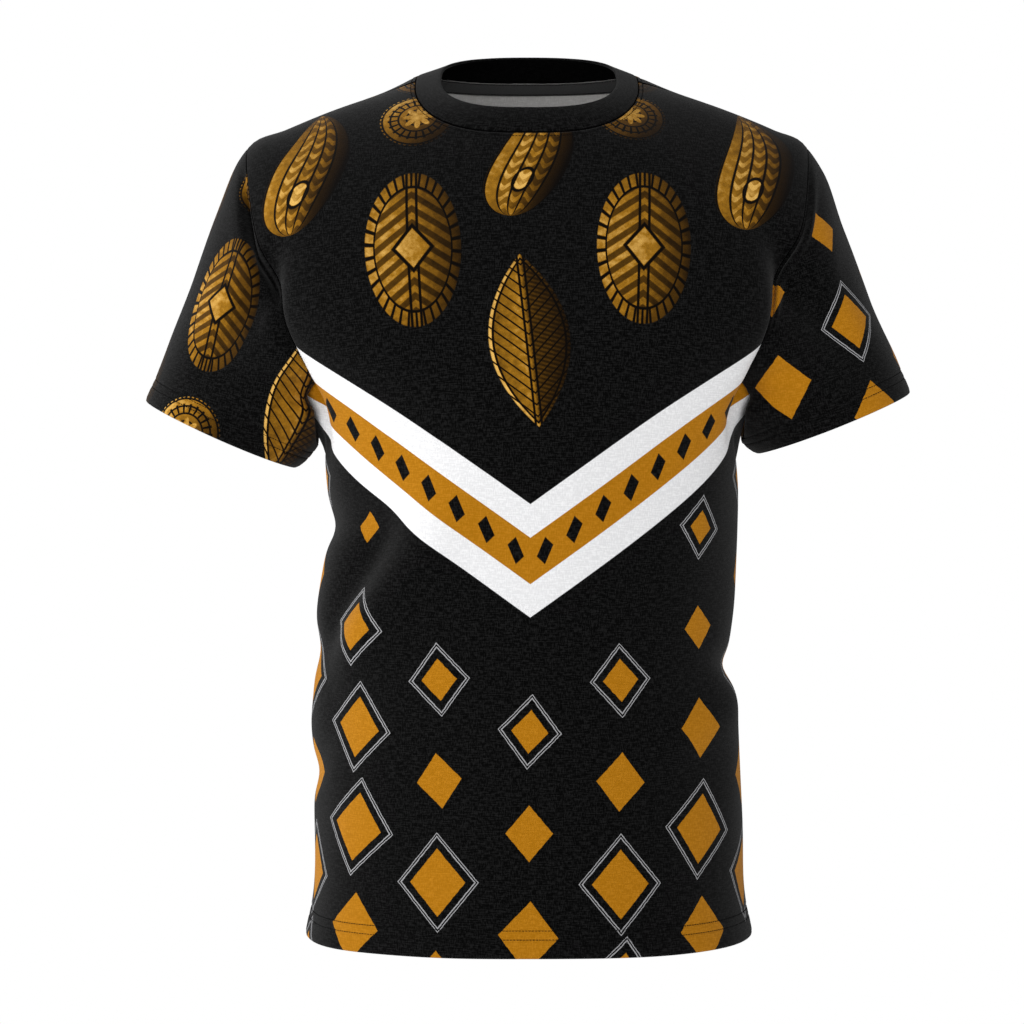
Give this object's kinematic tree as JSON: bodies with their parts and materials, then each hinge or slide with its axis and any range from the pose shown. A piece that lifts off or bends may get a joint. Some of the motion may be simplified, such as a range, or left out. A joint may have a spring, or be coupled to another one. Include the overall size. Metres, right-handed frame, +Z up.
{
  "type": "short-sleeved crew-neck t-shirt",
  "caption": "Hollow worn T-shirt in jersey, with a rib neckband, short set-in sleeves, turned-up cuffs and hem, and a tape inside the back neck.",
  "frame": {"origin": "midway between the two neck points, where the shoulder seams meet the neckband, which is where the wearer's shoulders and neck hold the shirt up", "axes": "+Z up to the wearer's head, -Y out of the shirt's front, +X to the wearer's left"},
  "size_m": [0.6475, 0.2589, 0.7571],
  "materials": {
    "jersey_print": "matt black heather jersey with an ochre and white print",
    "rib": "matt black fine rib knit",
    "tape": "dark grey woven tape"
  },
  "bodies": {
    "root": {"front": "jersey_print", "back": "jersey_print", "sleeve_right": "jersey_print", "sleeve_left": "jersey_print", "neckband": "rib", "neck_tape": "tape"}
  },
  "joints": []
}
